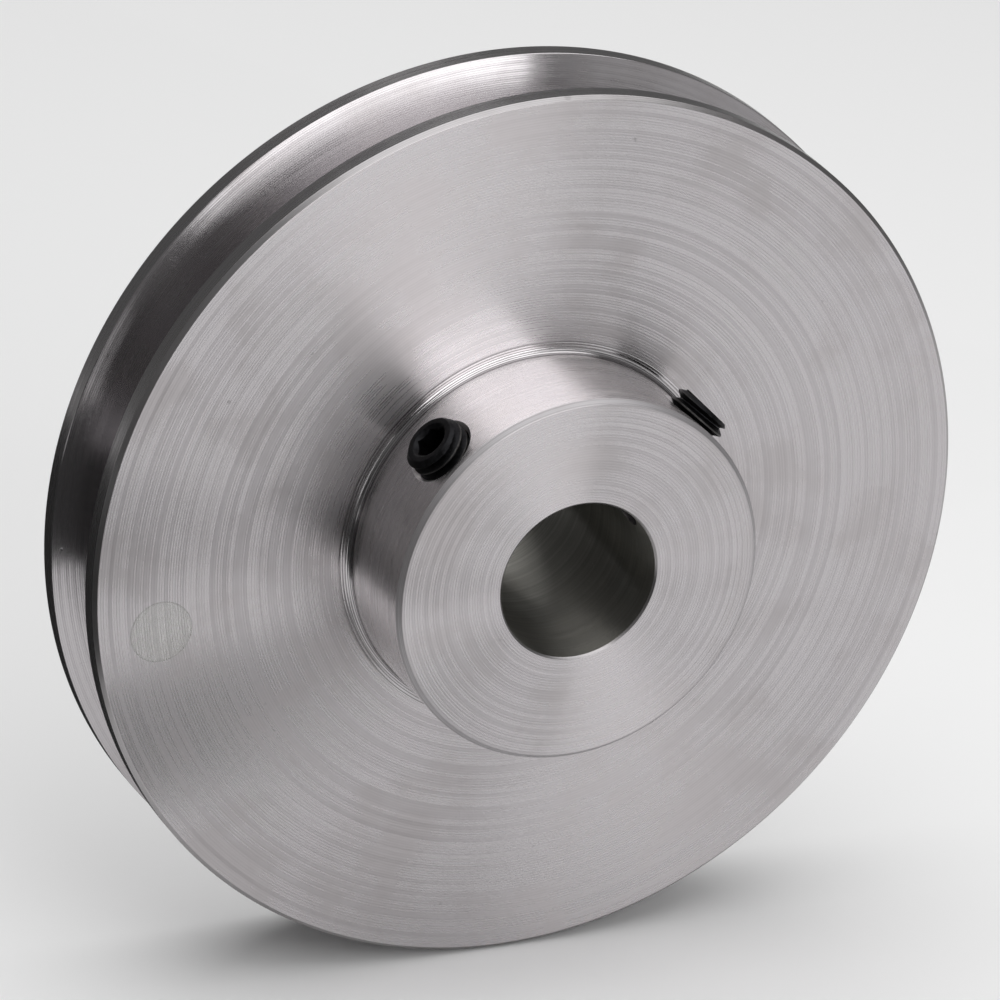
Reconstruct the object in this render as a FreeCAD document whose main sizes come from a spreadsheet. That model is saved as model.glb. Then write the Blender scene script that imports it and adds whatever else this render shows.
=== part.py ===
import FreeCAD, Part
import math
import os

import Sketcher

# Single-groove V-belt pulley with a hub boss, held on its shaft by two set screws.
# Frame: the shaft axis runs along Y, the hub points towards -Y, +Z is up, and the origin is on the
# bore's axis in the middle plane of the belt groove. Millimetres and degrees.

DIMENSIONS = {
    # disc and rim
    "outer_diameter": 90.0,
    "rim_width": 13.5,
    "rim_chamfer": 0.4,
    # belt groove
    "groove_width": 9.0,
    "groove_depth": 8.5,
    "groove_angle": 38.0,
    "groove_floor_radius": 0.8,
    "groove_edge_break": 0.12,
    # hub
    "hub_diameter": 37.5,
    "hub_projection": 11.7,
    "hub_chamfer": 0.45,
    "hub_root_radius": 0.7,
    "root_ledge_width": 0.45,
    "root_ledge_height": 0.1,
    # shaft bore
    "bore_diameter": 16.0,
    "bore_chamfer": 0.2,
    # set screws and their holes
    "screw_diameter": 6.0,
    "screw_length": 10.0,
    "screw_inset": 4.85,
    "screw_stand_out": 1.65,
    "screw_end_chamfer": 0.5,
    "screw_running_gap": 0.02,
    "screw_hole_sink": 0.75,
    "thread_pitch": 1.0,
    "thread_depth": 0.6134,
    "thread_crest": 0.125,
    "thread_angle": 60.0,
    "socket_width": 3.0,
    "socket_depth": 3.5,
    "socket_edge_break": 0.2,
    "drill_point_angle": 118.0,
    "cup_diameter": 2.5,
    "cup_lip": 0.25,
    "cup_angle": 120.0,
    "left_screw_angle": 135.0,
    "right_screw_angle": 45.0,
    # blank adhesive dot on the hub-side face
    "dot_diameter": 6.3,
    "dot_thickness": 0.06,
    "dot_circle_radius": 38.3,
    "dot_angle": 188.6,
}

SHEET = "Dimensions"
CUT_MARGIN = 1.0
THREAD_MARGIN = 0.05
LENGTH_TOLERANCE = 1e-4

doc = FreeCAD.newDocument("VBeltPulley")


class Size:
    """A length or angle that knows its value and the sheet expression that gives it."""

    def __init__(self, value, text):
        self.value = value
        self.text = text

    def __add__(self, other):
        other = as_size(other)
        return Size(self.value + other.value, f"({self.text} + {other.text})")

    def __sub__(self, other):
        other = as_size(other)
        return Size(self.value - other.value, f"({self.text} - {other.text})")

    def __mul__(self, other):
        other = as_size(other)
        return Size(self.value * other.value, f"({self.text} * {other.text})")

    def __truediv__(self, other):
        other = as_size(other)
        return Size(self.value / other.value, f"({self.text} / {other.text})")

    def __neg__(self):
        return Size(-self.value, f"(-1 * {self.text})")


def as_size(number):
    """Let a plain number stand in a sum with sizes."""
    if isinstance(number, Size):
        return number
    return Size(float(number), repr(float(number)))


def tangent(angle):
    return Size(math.tan(math.radians(angle.value)), f"tan({angle.text} * 1 deg)")


def sine(angle):
    return Size(math.sin(math.radians(angle.value)), f"sin({angle.text} * 1 deg)")


def cosine(angle):
    return Size(math.cos(math.radians(angle.value)), f"cos({angle.text} * 1 deg)")


def make_sheet():
    """Write every driving dimension as text in a cell that carries its name."""
    sheet = doc.addObject("Spreadsheet::Sheet", SHEET)
    for row, (name, value) in enumerate(DIMENSIONS.items(), start=1):
        sheet.set(f"A{row}", name)
        sheet.set(f"B{row}", str(value))
        sheet.setAlias(f"B{row}", name)
    doc.recompute()


def size_of(name):
    return Size(DIMENSIONS[name], f"{SHEET}.{name}")


def origin_plane(body, role):
    """Find one of the body's own origin planes by its role."""
    return next(feature for feature in body.Origin.OriginFeatures if feature.Role == role)


def new_body(name):
    body = doc.addObject("PartDesign::Body", name)
    body.Label = name
    return body


def new_sketch(body, name, role, lift=None, turn=None):
    """Attach a sketch to an origin plane, lifted along its normal and turned about it."""
    sketch = body.newObject("Sketcher::SketchObject", name)
    sketch.AttachmentSupport = [(origin_plane(body, role), "")]
    sketch.MapMode = "FlatFace"
    if lift is not None:
        sketch.setExpression("AttachmentOffset.Base.z", lift.text)
    if turn is not None:
        sketch.setExpression("AttachmentOffset.Rotation.Angle", turn.text)
    return sketch


def pin_coordinate(sketch, kind, axis, point, size):
    """Fix one coordinate of a point: on the axis where it is zero, else by a bound distance."""
    if size.value == 0.0:
        sketch.addConstraint(Sketcher.Constraint("PointOnObject", *point, axis))
        return
    index = sketch.addConstraint(Sketcher.Constraint(kind, -1, 1, *point, size.value))
    sketch.setExpression(f"Constraints[{index}]", size.text)


def pin_point(sketch, point, across, up):
    """Fix a point, given as its geometry's index and end, at (across, up)."""
    pin_coordinate(sketch, "DistanceX", -2, point, across)
    pin_coordinate(sketch, "DistanceY", -1, point, up)


def draw_outline(sketch, corners):
    """Draw a closed outline of straight lines through corners, each a pair of sizes."""
    corners = [(as_size(across), as_size(up)) for across, up in corners]
    count = len(corners)
    for index, (across, up) in enumerate(corners):
        next_across, next_up = corners[(index + 1) % count]
        start = FreeCAD.Vector(across.value, up.value, 0)
        finish = FreeCAD.Vector(next_across.value, next_up.value, 0)
        sketch.addGeometry(Part.LineSegment(start, finish), False)
    for index in range(count):
        sketch.addConstraint(Sketcher.Constraint("Coincident", index, 2, (index + 1) % count, 1))
    for index, (across, up) in enumerate(corners):
        pin_point(sketch, (index, 1), across, up)


def draw_circle(sketch, across, up, radius):
    centre = FreeCAD.Vector(across.value, up.value, 0)
    circle = sketch.addGeometry(Part.Circle(centre, FreeCAD.Vector(0, 0, 1), radius.value), False)
    pin_point(sketch, (circle, 3), across, up)
    index = sketch.addConstraint(Sketcher.Constraint("Radius", circle, radius.value))
    sketch.setExpression(f"Constraints[{index}]", radius.text)


def turn_solid(body, name, sketch):
    """Revolve an outline about the sketch's upright axis into solid material."""
    feature = body.newObject("PartDesign::Revolution", name)
    feature.Profile = sketch
    feature.ReferenceAxis = (sketch, ["V_Axis"])
    feature.Angle = 360.0
    doc.recompute()
    return feature


def turn_cut(body, name, sketch, axis="V_Axis"):
    """Revolve an outline about a sketch axis and take it away from the body."""
    volume_before = body.Shape.Volume
    feature = body.newObject("PartDesign::Groove", name)
    feature.Profile = sketch
    feature.ReferenceAxis = (sketch, [axis])
    feature.Angle = 360.0
    doc.recompute()
    require_cut(body, name, volume_before)
    return feature


def require_cut(body, name, volume_before):
    if body.Shape.Volume >= volume_before:
        raise RuntimeError(f"{name} took nothing away from {body.Label}")


def round_edges(body, name, base, rings, radius):
    """Fillet the ring edges of the base feature that lie at the given (radius, y) places."""
    names = []
    for index, edge in enumerate(base.Shape.Edges, start=1):
        if edge.Curve.TypeId != "Part::GeomCircle":
            continue
        for ring_radius, ring_y in rings:
            same_radius = abs(edge.Curve.Radius - ring_radius.value) < LENGTH_TOLERANCE
            same_place = abs(edge.Curve.Center.y - ring_y.value) < LENGTH_TOLERANCE
            if same_radius and same_place:
                names.append(f"Edge{index}")
    if len(names) != len(rings):
        raise RuntimeError(f"{name} found {len(names)} of {len(rings)} edges")
    feature = body.newObject("PartDesign::Fillet", name)
    feature.Base = (base, names)
    feature.setExpression("Radius", radius.text)
    doc.recompute()
    return feature


# Sizes that more than one piece uses.
outer_radius = size_of("outer_diameter") / 2
hub_radius = size_of("hub_diameter") / 2
bore_radius = size_of("bore_diameter") / 2
back_face_y = size_of("rim_width") / 2
front_face_y = -back_face_y
hub_face_y = front_face_y - size_of("hub_projection")
screw_y = hub_face_y + size_of("screw_inset")
screw_radius = size_of("screw_diameter") / 2
screw_hole_radius = screw_radius + size_of("screw_running_gap")
screw_tip_distance = hub_radius + size_of("screw_stand_out") - size_of("screw_length")


def cut_belt_groove(body):
    """Cut the V-groove with its two broken edges, and round the corners of its floor."""
    depth = size_of("groove_depth")
    edge_break = size_of("groove_edge_break")
    lean = tangent(size_of("groove_angle") / 2)
    half_width = size_of("groove_width") / 2
    floor_radius = outer_radius - depth
    floor_half_width = half_width - depth * lean
    side = [
        (floor_radius, floor_half_width),
        (outer_radius - edge_break, half_width - edge_break * lean),
        (outer_radius, half_width + edge_break),
        (outer_radius + CUT_MARGIN, half_width + edge_break),
    ]
    other_side = [(across, -up) for across, up in reversed(side)]
    sketch = new_sketch(body, "BeltGrooveOutline", "XY_Plane")
    draw_outline(sketch, side + other_side)
    groove = turn_cut(body, "BeltGroove", sketch)
    floor_corners = [(floor_radius, floor_half_width), (floor_radius, -floor_half_width)]
    round_edges(body, "GrooveFloorRounds", groove, floor_corners, size_of("groove_floor_radius"))


def cut_shaft_bore(body):
    """Cut the through bore, with a small chamfer at each mouth."""
    chamfer = size_of("bore_chamfer")
    mouth_radius = bore_radius + chamfer + CUT_MARGIN
    sketch = new_sketch(body, "ShaftBoreOutline", "XY_Plane")
    draw_outline(sketch, [
        (0, hub_face_y - CUT_MARGIN),
        (mouth_radius, hub_face_y - CUT_MARGIN),
        (bore_radius, hub_face_y + chamfer),
        (bore_radius, back_face_y - chamfer),
        (mouth_radius, back_face_y + CUT_MARGIN),
        (0, back_face_y + CUT_MARGIN),
    ])
    turn_cut(body, "ShaftBore", sketch)


def cut_screw_hole(body, side):
    """Drill one radial screw hole from the bore out through the hub, with a sunk mouth."""
    sink = size_of("screw_hole_sink")
    angle = size_of(f"{side}_screw_angle")
    name = f"{side.capitalize()}ScrewHole"
    sketch = new_sketch(body, f"{name}Outline", "XZ_Plane", lift=-screw_y, turn=angle)
    draw_outline(sketch, [
        (0, 0),
        (hub_radius + CUT_MARGIN, 0),
        (hub_radius + CUT_MARGIN, screw_hole_radius + sink + CUT_MARGIN),
        (hub_radius - sink, screw_hole_radius),
        (0, screw_hole_radius),
    ])
    turn_cut(body, name, sketch, axis="H_Axis")


def make_pulley_body():
    """Turn the disc and its hub from one blank, then cut the groove, bore and screw holes."""
    body = new_body("pulley_body")
    rim_chamfer = size_of("rim_chamfer")
    hub_chamfer = size_of("hub_chamfer")
    ledge_radius = hub_radius + size_of("hub_root_radius") + size_of("root_ledge_width")
    ledge_y = front_face_y - size_of("root_ledge_height")
    sketch = new_sketch(body, "BlankOutline", "XY_Plane")
    draw_outline(sketch, [
        (0, hub_face_y),
        (hub_radius - hub_chamfer, hub_face_y),
        (hub_radius, hub_face_y + hub_chamfer),
        (hub_radius, ledge_y),
        (ledge_radius, ledge_y),
        (ledge_radius, front_face_y),
        (outer_radius - rim_chamfer, front_face_y),
        (outer_radius, front_face_y + rim_chamfer),
        (outer_radius, back_face_y - rim_chamfer),
        (outer_radius - rim_chamfer, back_face_y),
        (0, back_face_y),
    ])
    blank = turn_solid(body, "Blank", sketch)
    round_edges(body, "HubRoot", blank, [(hub_radius, ledge_y)], size_of("hub_root_radius"))
    cut_belt_groove(body)
    cut_shaft_bore(body)
    for side in ("left", "right"):
        cut_screw_hole(body, side)
    return body


def cut_screw_thread(body, side):
    """Cut the screw's helical thread along its whole length."""
    pitch = size_of("thread_pitch")
    flank = tangent(size_of("thread_angle") / 2)
    depth = size_of("thread_depth")
    half_mouth = (pitch - size_of("thread_crest")) / 2
    half_root = half_mouth - depth * flank
    half_outer = half_mouth + flank * THREAD_MARGIN
    start = -pitch
    sketch = new_sketch(body, f"{side.capitalize()}ThreadOutline", "XZ_Plane")
    draw_outline(sketch, [
        (screw_radius - depth, start - half_root),
        (screw_radius + THREAD_MARGIN, start - half_outer),
        (screw_radius + THREAD_MARGIN, start + half_outer),
        (screw_radius - depth, start + half_root),
    ])
    volume_before = body.Shape.Volume
    thread = body.newObject("PartDesign::SubtractiveHelix", f"{side.capitalize()}Thread")
    thread.Profile = sketch
    thread.ReferenceAxis = (sketch, ["V_Axis"])
    thread.Mode = "pitch-height-angle"
    thread.setExpression("Pitch", pitch.text)
    thread.setExpression("Height", (size_of("screw_length") + pitch * 2).text)
    doc.recompute()
    require_cut(body, thread.Name, volume_before)


def cut_hex_socket(body, side):
    """Sink the hexagon socket, its broken mouth and the point the drill left below it."""
    prefix = side.capitalize()
    length = size_of("screw_length")
    width = size_of("socket_width")
    depth = size_of("socket_depth")
    corner = width / math.sqrt(3)
    hexagon = [
        (corner, 0),
        (corner / 2, width / 2),
        (-corner / 2, width / 2),
        (-corner, 0),
        (-corner / 2, -width / 2),
        (corner / 2, -width / 2),
    ]
    sketch = new_sketch(body, f"{prefix}SocketOutline", "XY_Plane", lift=length)
    draw_outline(sketch, hexagon)
    volume_before = body.Shape.Volume
    socket = body.newObject("PartDesign::Pocket", f"{prefix}Socket")
    socket.Profile = sketch
    socket.setExpression("Length", depth.text)
    doc.recompute()
    require_cut(body, socket.Name, volume_before)

    mouth_radius = corner + size_of("socket_edge_break")
    sketch = new_sketch(body, f"{prefix}SocketMouthOutline", "XZ_Plane")
    draw_outline(sketch, [
        (0, length - mouth_radius),
        (mouth_radius + CUT_MARGIN, length + CUT_MARGIN),
        (0, length + CUT_MARGIN),
    ])
    turn_cut(body, f"{prefix}SocketMouth", sketch)

    floor = length - depth
    drill_radius = width / 2 - size_of("screw_running_gap")
    point_depth = drill_radius / tangent(size_of("drill_point_angle") / 2)
    sketch = new_sketch(body, f"{prefix}DrillPointOutline", "XZ_Plane")
    draw_outline(sketch, [(0, floor - point_depth), (drill_radius, floor), (0, floor + depth / 2)])
    turn_cut(body, f"{prefix}DrillPoint", sketch)


def make_set_screw(side):
    """Make one cup-point set screw along its own Z and place it in its hole in the hub."""
    body = new_body(f"set_screw_{side}")
    length = size_of("screw_length")
    end_chamfer = size_of("screw_end_chamfer")
    cup_radius = size_of("cup_diameter") / 2
    cup_depth = cup_radius / tangent(size_of("cup_angle") / 2)
    lip_radius = cup_radius + size_of("cup_lip")
    sketch = new_sketch(body, f"{side.capitalize()}ShankOutline", "XZ_Plane")
    draw_outline(sketch, [
        (0, cup_depth),
        (cup_radius, 0),
        (lip_radius, 0),
        (screw_radius, screw_radius - lip_radius),
        (screw_radius, length - end_chamfer),
        (screw_radius - end_chamfer, length),
        (0, length),
    ])
    turn_solid(body, f"{side.capitalize()}Shank", sketch)
    cut_screw_thread(body, side)
    cut_hex_socket(body, side)

    angle = size_of(f"{side}_screw_angle")
    across = screw_tip_distance * cosine(angle)
    up = screw_tip_distance * sine(angle)
    tilt = as_size(90) - angle
    base = f"vector({across.text}; {screw_y.text}; {up.text})"
    turn = f"rotation(vector(0; 1; 0); {tilt.text})"
    body.setExpression("Placement", f"placement({base}; {turn})")
    doc.recompute()
    return body


def make_inspection_dot():
    """Lay the thin round dot on the hub-side face of the disc."""
    body = new_body("inspection_dot")
    angle = size_of("dot_angle")
    distance = size_of("dot_circle_radius")
    sketch = new_sketch(body, "DotOutline", "XZ_Plane", lift=-front_face_y)
    draw_circle(sketch, distance * cosine(angle), distance * sine(angle), size_of("dot_diameter") / 2)
    pad = body.newObject("PartDesign::Pad", "DotFilm")
    pad.Profile = sketch
    pad.setExpression("Length", size_of("dot_thickness").text)
    doc.recompute()
    return body


def check_document(bodies):
    """Stop before anything is written if a feature failed or a piece is not one sound solid."""
    for item in doc.Objects:
        if "Invalid" in item.State or "Error" in item.State:
            raise RuntimeError(f"{item.Label} failed: {item.State}")
    for body in bodies:
        if body.Shape.isNull() or not body.Shape.isValid():
            raise RuntimeError(f"{body.Label} has no valid shape")
        if len(body.Shape.Solids) != 1:
            raise RuntimeError(f"{body.Label} has {len(body.Shape.Solids)} solids")


make_sheet()
pieces = [
    make_pulley_body(),
    make_set_screw("left"),
    make_set_screw("right"),
    make_inspection_dot(),
]
check_document(pieces)
os.makedirs("parts", exist_ok=True)
for piece in pieces:
    piece.Shape.exportStep(f"parts/{piece.Label}.step")
    box = piece.Shape.BoundBox
    print(f"{piece.Label}: {piece.Shape.Volume:.1f} mm3, {box.XLength:.2f} x {box.YLength:.2f} x {box.ZLength:.2f} mm")
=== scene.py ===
"""Looks of a turned aluminium V-belt pulley, its two set screws and its inspection dot.

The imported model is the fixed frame. Each piece here is a surface worked out with numpy in millimetres,
scaled to metres when it becomes a mesh. The shaft axis is Y, the hub points to -Y and +Z is up.
"""

import logging
import math
from dataclasses import dataclass, field
from enum import Enum
from typing import Any, Iterable, Optional, Sequence, Union

import bmesh
import bpy
import numpy as np
from mathutils import Matrix, Vector

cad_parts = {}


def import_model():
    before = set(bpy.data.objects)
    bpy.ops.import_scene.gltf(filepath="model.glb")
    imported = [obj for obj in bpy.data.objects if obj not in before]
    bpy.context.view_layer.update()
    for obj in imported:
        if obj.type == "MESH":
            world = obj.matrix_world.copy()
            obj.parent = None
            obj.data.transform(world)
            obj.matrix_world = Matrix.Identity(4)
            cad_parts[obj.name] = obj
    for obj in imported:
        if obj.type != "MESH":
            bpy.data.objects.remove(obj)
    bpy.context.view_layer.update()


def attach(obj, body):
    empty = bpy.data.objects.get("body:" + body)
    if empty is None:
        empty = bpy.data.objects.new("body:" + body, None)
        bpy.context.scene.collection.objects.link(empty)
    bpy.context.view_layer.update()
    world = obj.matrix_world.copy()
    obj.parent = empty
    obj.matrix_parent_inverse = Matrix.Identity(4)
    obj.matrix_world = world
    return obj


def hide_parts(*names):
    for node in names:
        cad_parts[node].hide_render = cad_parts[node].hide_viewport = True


LOG = logging.getLogger("pulley")
MM = 0.001
FULL_TURN = 2.0 * math.pi
WELD_DECIMALS = 6
QUARTER_TURN = 0.25

RING_EASE = 0.8
TONE_RANGE = (0.3, 0.7)
PIT_DEPTH = 7.0
SCRATCH_DEPTH = 2.0
STAIN_TINT = (0.86, 0.83, 0.80)
DUST_ON_METAL = (0.75, 0.74, 0.72)
FRESH_SCRATCH = (0.75, 0.74, 0.73)
PIT_FLOOR = (0.28, 0.27, 0.27)
DUST_ON_BLACK = (0.35, 0.34, 0.32)
FILM_SPECK = (0.16, 0.16, 0.15)
FILM_RIM_DARK = (0.10, 0.10, 0.095)

Value = Union[float, bpy.types.NodeSocket]
Sockets = dict[str, bpy.types.NodeSocket]
Colour = tuple[float, float, float]


# ---------------------------------------------------------------------------------------------
# Surfaces
# ---------------------------------------------------------------------------------------------


class Zone(Enum):
    """Stretches of the pulley that a lathe or drill leaves with different finishes."""

    FACE = 0
    HUB_FACE = 1
    BACK_FACE = 2
    HUB_SIDE = 3
    LEDGE = 4
    RIM_LAND = 5
    BROKEN_EDGE = 6
    GROOVE_FLANK = 7
    GROOVE_FLOOR = 8
    BORE = 9
    THREAD_WALL = 10
    HUB_EDGE = 11
    HOLE_MOUTH = 12


class Skin:
    """A closed surface gathered from grids of points, welded into one mesh."""

    def __init__(self) -> None:
        """Start with no grids."""
        self._points: list[np.ndarray] = []
        self._quads: list[np.ndarray] = []
        self._zones: list[np.ndarray] = []
        self._count = 0

    def add(self, grid: np.ndarray, zones: Union[int, np.ndarray]) -> None:
        """Add a grid of points, whose last column may repeat its first to close a ring.

        Args:
            grid: Points in millimetres, shaped (rows, columns, 3).
            zones: Index of the material for all of the grid's faces, or one index for each row of them.
        """
        rows, columns = grid.shape[:2]
        corner = np.arange(rows * columns).reshape(rows, columns) + self._count
        quads = np.stack(
            [corner[:-1, :-1], corner[:-1, 1:], corner[1:, 1:], corner[1:, :-1]], axis=-1
        ).reshape(-1, 4)
        self._points.append(grid.reshape(-1, 3))
        self._quads.append(quads)
        by_row = np.broadcast_to(zones, rows - 1)
        self._zones.append(np.repeat(by_row, columns - 1))
        self._count += rows * columns

    def to_object(self, name: str, sharp_angle: float) -> bpy.types.Object:
        """Weld the grids, drop collapsed faces and make a smooth-shaded object of them.

        Points that agree to a nanometre become one vertex. A quad with two equal corners becomes a
        triangle, and one with fewer than three different corners is dropped.

        Args:
            name: The piece's name.
            sharp_angle: Angle in degrees above which an edge is shaded as a crease.

        Returns:
            The new object, at the origin, in metres.
        """
        points = np.round(np.concatenate(self._points), WELD_DECIMALS)
        welded, index = np.unique(points, axis=0, return_inverse=True)
        quads = index.reshape(-1)[np.concatenate(self._quads)]
        zones = np.concatenate(self._zones)
        keep = quads != np.roll(quads, 1, axis=1)
        whole = keep.sum(axis=1) >= 3
        quads, zones, keep = quads[whole], zones[whole], keep[whole]
        sizes = keep.sum(axis=1)
        mesh = bpy.data.meshes.new(name)
        mesh.vertices.add(len(welded))
        mesh.vertices.foreach_set("co", (welded * MM).astype(np.float32).ravel())
        mesh.loops.add(int(sizes.sum()))
        mesh.loops.foreach_set("vertex_index", quads[keep].astype(np.int32))
        mesh.polygons.add(len(quads))
        starts = np.concatenate([[0], np.cumsum(sizes)[:-1]])
        mesh.polygons.foreach_set("loop_start", starts.astype(np.int32))
        mesh.polygons.foreach_set("material_index", zones.astype(np.int32))
        mesh.update(calc_edges=True)
        mesh.validate()
        turn_faces_outwards(mesh)
        mesh.shade_smooth()
        mesh.set_sharp_from_angle(angle=math.radians(sharp_angle))
        piece = bpy.data.objects.new(name, mesh)
        bpy.context.scene.collection.objects.link(piece)
        return piece


def turn_faces_outwards(mesh: bpy.types.Mesh) -> None:
    """Point every face of a closed mesh outwards, and stop if the mesh has an open edge."""
    work = bmesh.new()
    work.from_mesh(mesh)
    open_edges = sum(not edge.is_manifold for edge in work.edges)
    if open_edges:
        raise ValueError(f"{mesh.name} has {open_edges} open edges")
    bmesh.ops.recalc_face_normals(work, faces=work.faces)
    work.to_mesh(mesh)
    work.free()


def revolve(path: np.ndarray, turns: np.ndarray) -> np.ndarray:
    """Carry an outline round the Y axis.

    A point of the outline at (radius, y) goes to (radius cos t, y, radius sin t) for each angle t.

    Args:
        path: Outline points as (radius, y), shaped (rows, 2).
        turns: Angles in radians.

    Returns:
        Points shaped (rows, angles, 3).
    """
    radius = path[:, :1]
    across = radius * np.cos(turns)
    up = radius * np.sin(turns)
    along = np.broadcast_to(path[:, 1:], across.shape)
    return np.stack([across, along, up], axis=-1)


def whole_turn(columns: int) -> np.ndarray:
    """Give the angles of a closed ring, whose last angle meets its first.

    Args:
        columns: Number of faces round the ring.

    Returns:
        Angles in radians, one more than the number of faces.
    """
    angles = np.linspace(0.0, FULL_TURN, columns + 1)
    angles[-1] = 0.0
    return angles


def round_radial_axis(
    bearing: np.ndarray, reach: np.ndarray, distance: np.ndarray, turn: float, centre_y: float
) -> np.ndarray:
    """Place points round an axis that stands straight out from the shaft.

    A point lies at distance along that axis, and at reach from it in the direction whose cosine runs
    round the shaft and whose sine runs along it.

    Args:
        bearing: Angles round the radial axis.
        reach: Distances from it.
        distance: Distances from the shaft axis.
        turn: The radial axis's angle round the shaft, in radians.
        centre_y: Its place along the shaft.

    Returns:
        Points with the shape of the inputs and a last axis of 3.
    """
    bearing, reach, distance = np.broadcast_arrays(bearing, reach, distance)
    side = reach * np.cos(bearing)
    x = distance * math.cos(turn) - side * math.sin(turn)
    z = distance * math.sin(turn) + side * math.cos(turn)
    return np.stack([x, centre_y + reach * np.sin(bearing), z], axis=-1)


def report(piece: bpy.types.Object) -> None:
    """Log a finished piece's size."""
    LOG.info("%s: %d vertices, %d faces", piece.name, len(piece.data.vertices), len(piece.data.polygons))


@dataclass(frozen=True)
class Corner:
    """One corner of an outline.

    Attributes:
        radius: Distance from the shaft axis in millimetres.
        y: Place along the shaft axis in millimetres.
        zone: Finish of the stretch that leaves this corner.
        rounding: Radius of the arc that replaces the corner.
        steps: Faces in that arc.
        arc_zone: Finish of that arc, or None for the finish of the stretch before it.
    """

    radius: float
    y: float
    zone: Zone
    rounding: float = 0.0
    steps: int = 4
    arc_zone: Optional[Zone] = None


def trace_outline(corners: Sequence[Corner], guard: float) -> tuple[np.ndarray, np.ndarray]:
    """Walk an outline, rounding its corners and guarding its long stretches.

    The arc at a corner starts and ends at rounding * tan(half the turn) from it. A stretch longer than
    four guards gets extra points one guard from each end, which keep the soft shading of a small rounded
    edge off the flat beside it.

    Args:
        corners: The outline's corners.
        guard: Distance of the extra points from a stretch's ends.

    Returns:
        The points as (radius, y), and the zone of the face that follows each point but the last.
    """
    places = np.array([(corner.radius, corner.y) for corner in corners])
    points: list[np.ndarray] = []
    zones: list[int] = []
    start = places[0]
    for index in range(1, len(corners)):
        corner, here, zone = corners[index], places[index], corners[index - 1].zone.value
        into = (here - places[index - 1]) / np.linalg.norm(here - places[index - 1])
        arc = here[None, :]
        if corner.rounding > 0.0 and index + 1 < len(corners):
            out = (places[index + 1] - here) / np.linalg.norm(places[index + 1] - here)
            turn = math.acos(float(np.clip(into @ out, -1.0, 1.0)))
            side = math.copysign(1.0, into[0] * out[1] - into[1] * out[0])
            inward = side * np.array([-into[1], into[0]])
            sweep = np.linspace(0.0, turn, corner.steps + 1)[:, None]
            begin = here - into * corner.rounding * math.tan(turn / 2.0)
            arc = begin + corner.rounding * (inward * (1.0 - np.cos(sweep)) + into * np.sin(sweep))
        line = [start]
        if np.linalg.norm(arc[0] - start) > 4.0 * guard:
            line += [start + into * guard, arc[0] - into * guard]
        arc_zone = zone if corner.arc_zone is None else corner.arc_zone.value
        points += line + list(arc[:-1])
        zones += [zone] * len(line) + [arc_zone] * (len(arc) - 1)
        start = arc[-1]
    points.append(start)
    return np.array(points), np.array(zones)


# ---------------------------------------------------------------------------------------------
# Shader graphs
# ---------------------------------------------------------------------------------------------


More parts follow.
